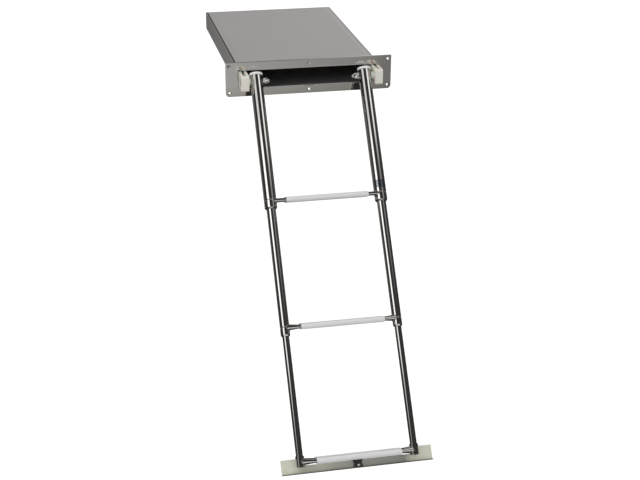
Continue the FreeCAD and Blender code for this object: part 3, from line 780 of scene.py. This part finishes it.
def lay_floor():
    low = cad_box[0].z - FLOOR_BELOW
    bpy.ops.mesh.primitive_plane_add(size=FLOOR_SIZE, location=(0, 0, low))
    floor = bpy.context.object
    floor.name = "floor"
    finish = Finish("pale_floor", roughness=0.9, specular_ior_level=0.1)
    dust = finish.noise(finish.place(), 3.0, 3.0)
    finish.colour(finish.between(dust, grey(0.60), grey(0.63)))
    path = finish.tree.nodes.new("ShaderNodeLightPath")
    seen = Wire(finish, path.outputs["Is Camera Ray"])
    for ray in ("Is Glossy Ray", "Is Transmission Ray"):
        seen = seen + Wire(finish, path.outputs[ray])
    glow = finish.node("Emission", {}, {"Color": grey(1.0), "Strength": seen * FLOOR_GLOW})
    both = finish.node("AddShader", {}, {0: Wire(finish, finish.shader.outputs["BSDF"]), 1: glow})
    finish.join(finish.output.inputs["Surface"], both.socket)
    floor.data.materials.append(finish.material)


def raise_studio_tent():
    """Dim tent round the object that only polished metal sees.

    It is lighter high behind the cassette, on the ground far in front of it, on a low
    wall that faces it, and low down behind it on the left.
    """
    bpy.ops.mesh.primitive_uv_sphere_add(
        segments=64, ring_count=32, radius=TENT_RADIUS, location=AIM
    )
    tent = bpy.context.object
    tent.name = "studio_tent"
    ground = (AIM.x, AIM.y, cad_box[0].z - FLOOR_BELOW + TENT_ABOVE_FLOOR)
    bpy.ops.object.mode_set(mode="EDIT")
    bpy.ops.mesh.select_all(action="SELECT")
    bpy.ops.mesh.bisect(plane_co=ground, plane_no=(0, 0, 1), use_fill=True, clear_inner=True)
    bpy.ops.object.mode_set(mode="OBJECT")
    finish = Finish("studio_tent")
    behind = finish.along("Y", 1.05, 1.6)
    above = finish.along("Z", -0.1, 0.7)
    front = finish.along("Y", -1.7, -2.2)
    below = finish.along("Z", -0.1, -0.5)
    across = finish.along("X", 0.05, 0.95)
    leftward = finish.ramp(across, (0.0, TENT_FRONT[0]), (1.0, TENT_FRONT[1]))
    facing = finish.along("Y", -2.2, -2.6) * finish.along("Z", -0.5, -0.1)
    facing = facing * finish.along("Z", 1.05, 0.75)
    rightward = finish.along("X", -0.4, 1.4) * TENT_BEHIND_RISE + TENT_BEHIND
    level = TENT_DIM + behind * above * rightward + front * below * leftward
    level = level + facing * TENT_FACING
    left_behind = finish.along("X", -0.2, -0.7) * finish.along("Y", 1.2, 2.0)
    level = level + left_behind * below * TENT_LEFT_BEHIND
    tone = rgb(1.0, 0.98, 0.955)
    glow = finish.node("Emission", {}, {"Color": tone, "Strength": level})
    finish.join(finish.output.inputs["Surface"], glow.socket)
    tent.data.materials.append(finish.material)
    show_to_metal_only(tent)


def show_to_metal_only(sheet):
    sheet.visible_camera = False
    sheet.visible_diffuse = False
    sheet.visible_transmission = False
    sheet.visible_shadow = False


def hang_panel(name, toward, width, stops, drawn_in):
    """A softbox aimed at the ladder, its long side up the ladder's lean.

    Its lowest part is masked off from one side by the share drawn_in.
    """
    bpy.ops.mesh.primitive_plane_add(size=1.0)
    panel = bpy.context.object
    panel.name = name
    back = Vector(toward).normalized()
    side = UP_THE_LADDER.cross(back).normalized()
    turn = Matrix((side, back.cross(side), back)).transposed().to_4x4()
    size = Matrix.Diagonal((width, PANEL_HEIGHT, 1.0, 1.0))
    panel.matrix_world = Matrix.Translation(AIM + back * PANEL_DISTANCE) @ turn @ size
    finish = Finish(name)
    top = max(radiance for _, radiance in stops)
    scale = [(0.5 + at / PANEL_HEIGHT, radiance / top) for at, radiance in stops]
    level = finish.ramp(finish.along("Y", -0.5, 0.5), *scale) * top
    edge = 1.0 - finish.along("Y", -0.30, -0.40) * drawn_in
    inside = edge - finish.along("X", -0.5, 0.5)
    clamped = {"operation": "MULTIPLY", "use_clamp": True}
    shown = finish.node("Math", clamped, {0: inside, 1: PANEL_EDGE_SHARPNESS})
    level = level * shown
    glow = finish.node("Emission", {}, {"Color": rgb(1.0, 0.995, 0.985), "Strength": level})
    finish.join(finish.output.inputs["Surface"], glow.socket)
    panel.data.materials.append(finish.material)
    panel.visible_camera = False
    panel.visible_shadow = False


def light_studio():
    world = bpy.context.scene.world or bpy.data.worlds.new("world")
    bpy.context.scene.world = world
    world.use_nodes = True
    tree = world.node_tree
    tree.nodes.clear()
    path = tree.nodes.new("ShaderNodeLightPath")
    seen = tree.nodes.new("ShaderNodeMath")
    seen.operation = "MAXIMUM"
    tree.links.new(seen.inputs[0], path.outputs["Is Camera Ray"])
    tree.links.new(seen.inputs[1], path.outputs["Is Glossy Ray"])
    either = tree.nodes.new("ShaderNodeMath")
    either.operation = "MAXIMUM"
    tree.links.new(either.inputs[0], seen.outputs[0])
    tree.links.new(either.inputs[1], path.outputs["Is Transmission Ray"])
    strength = tree.nodes.new("ShaderNodeMapRange")
    strength.inputs["To Min"].default_value = WORLD_ON_OBJECT
    strength.inputs["To Max"].default_value = WORLD_IN_VIEW
    tree.links.new(strength.inputs["Value"], either.outputs[0])
    glow = tree.nodes.new("ShaderNodeBackground")
    glow.inputs["Color"].default_value = grey(1.0)
    tree.links.new(glow.inputs["Strength"], strength.outputs[0])
    output = tree.nodes.new("ShaderNodeOutputWorld")
    tree.links.new(output.inputs["Surface"], glow.outputs[0])
    hang_panel("key_softbox", TOWARD_KEY, KEY_WIDTH, KEY_STOPS, KEY_DRAWN_IN)
    hang_panel("fill_softbox", TOWARD_FILL, FILL_WIDTH, FILL_STOPS, FILL_DRAWN_IN)


place_camera()
lay_floor()
raise_studio_tent()
light_studio()
bpy.context.scene.view_settings.view_transform = "Standard"
